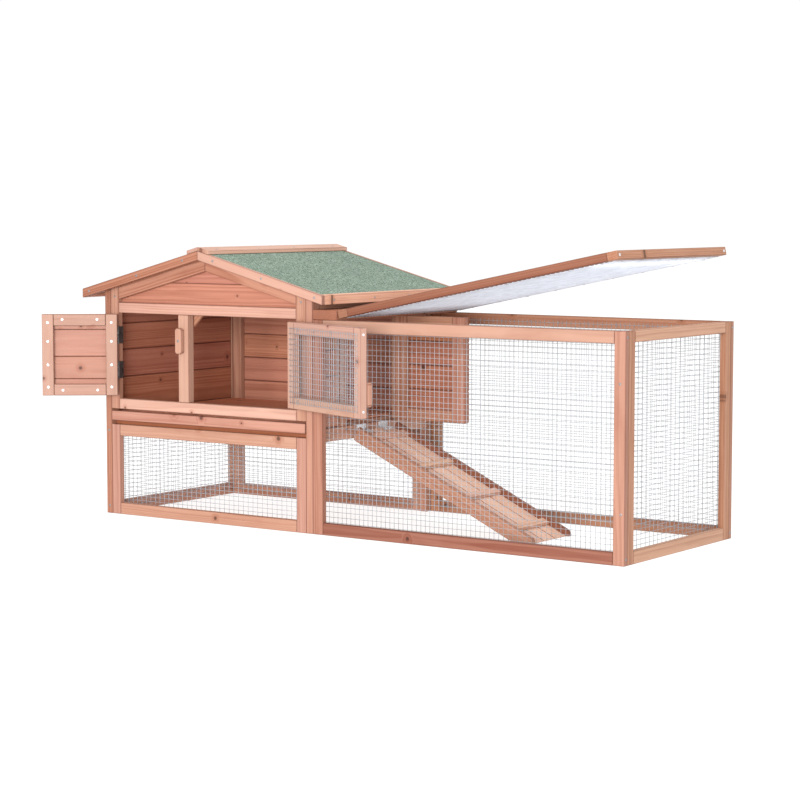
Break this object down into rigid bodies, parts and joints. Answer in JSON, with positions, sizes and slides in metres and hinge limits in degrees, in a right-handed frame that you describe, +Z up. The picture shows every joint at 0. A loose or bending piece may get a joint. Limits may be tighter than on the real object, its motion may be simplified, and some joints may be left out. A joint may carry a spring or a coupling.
{
  "type": "rabbit hutch",
  "caption": "Raised timber rabbit hutch with a gabled felt roof, front doors, slide-out tray and a ramp down to a low wire run with a lifting lid.",
  "frame": {"origin": "bottom centre of the whole object's box, with the doors and lid as they stand at rest", "axes": "+X from the house to the far end of the run, +Y from the front to the back, +Z up"},
  "size_m": [1.6646, 0.7144, 0.7096],
  "materials": {
    "timber": "matte",
    "boards": "matte",
    "roof_felt": "matte",
    "wire_mesh": "satin",
    "hinge_zinc": "satin"
  },
  "bodies": {
    "hutch": {"lower_front_frame": "timber", "upper_front_frame": "timber", "door_post": "timber", "left_side_frame": "timber", "house_back_frame": "timber", "divider_frame": "timber", "left_tray_runner": "timber", "right_tray_runner": "timber", "tray_bearer": "timber", "run_front_frame": "timber", "run_back_frame": "timber", "run_end_frame": "timber", "lid_hinge_board": "timber", "ridge_cap": "timber", "front_left_barge_board": "timber", "front_right_barge_board": "timber", "back_left_barge_board": "timber", "back_right_barge_board": "timber", "left_fascia": "timber", "right_fascia": "timber", "front_gable_boards": "boards", "left_wall_boards": "boards", "back_wall_boards": "boards", "divider_front_boards": "boards", "divider_rear_boards": "boards", "left_roof_boards": "boards", "right_roof_boards": "boards", "left_roof_felt": "roof_felt", "right_roof_felt": "roof_felt", "lower_front_mesh": "wire_mesh", "left_lower_mesh": "wire_mesh", "lower_back_mesh": "wire_mesh", "run_front_mesh": "wire_mesh", "run_back_mesh": "wire_mesh", "run_end_mesh": "wire_mesh", "solid_door_upper_hinge": "hinge_zinc", "solid_door_lower_hinge": "hinge_zinc", "mesh_door_upper_hinge": "hinge_zinc", "mesh_door_lower_hinge": "hinge_zinc", "ramp_front_hinge": "hinge_zinc", "ramp_rear_hinge": "hinge_zinc"},
    "solid_door": {"solid_door_boards": "boards", "solid_door_frame": "timber"},
    "mesh_door": {"mesh_door_frame": "timber", "mesh_door_wire": "wire_mesh"},
    "mesh_door_button": {"mesh_door_button": "timber"},
    "post_button": {"post_button": "timber"},
    "side_door": {"side_door_frame": "timber", "side_door_boards": "boards"},
    "lid": {"lid_frame": "timber", "lid_mesh": "wire_mesh"},
    "ramp": {"ramp_deck": "boards", "ramp_front_rail": "timber", "ramp_rear_rail": "timber", "ramp_cleat_1": "timber", "ramp_cleat_2": "timber", "ramp_cleat_3": "timber", "ramp_cleat_4": "timber"},
    "tray": {"tray_front": "timber", "tray_pan": "boards"}
  },
  "joints": [
    {"name": "solid_door_swing", "type": "hinge", "parent": "hutch", "child": "solid_door", "pos_m": [-0.67824, -0.20627, 0.418], "axis": [0, 0, 1], "range_deg": [-32, 143]},
    {"name": "mesh_door_swing", "type": "hinge", "parent": "hutch", "child": "mesh_door", "pos_m": [-0.09724, -0.20627, 0.418], "axis": [0, 0, 1], "range_deg": [-157.6, 18]},
    {"name": "mesh_door_button_turn", "type": "hinge", "parent": "mesh_door", "child": "mesh_door_button", "pos_m": [0.20942, -0.33612, 0.3665], "axis": [0.3811, 0.9245, 0], "range_deg": [0, 90]},
    {"name": "post_button_turn", "type": "hinge", "parent": "hutch", "child": "post_button", "pos_m": [-0.46724, -0.20307, 0.463], "axis": [0, -1, 0], "range_deg": [0, 90]},
    {"name": "side_door_swing", "type": "hinge", "parent": "hutch", "child": "side_door", "pos_m": [-0.04094, 0.16023, 0.393], "axis": [0, 0, 1], "range_deg": [-90, 38]},
    {"name": "lid_lift", "type": "hinge", "parent": "hutch", "child": "lid", "pos_m": [0.02996, 0.06223, 0.5575], "axis": [0, -1, 0], "range_deg": [-11.3, 115]},
    {"name": "ramp_fold", "type": "hinge", "parent": "hutch", "child": "ramp", "pos_m": [-0.04184, 0.04673, 0.2385], "axis": [0, -1, 0], "range_deg": [0, 50]},
    {"name": "tray_slide", "type": "slide", "parent": "hutch", "child": "tray", "axis": [0, -1, 0], "range_m": [0, 0.42]}
  ]
}
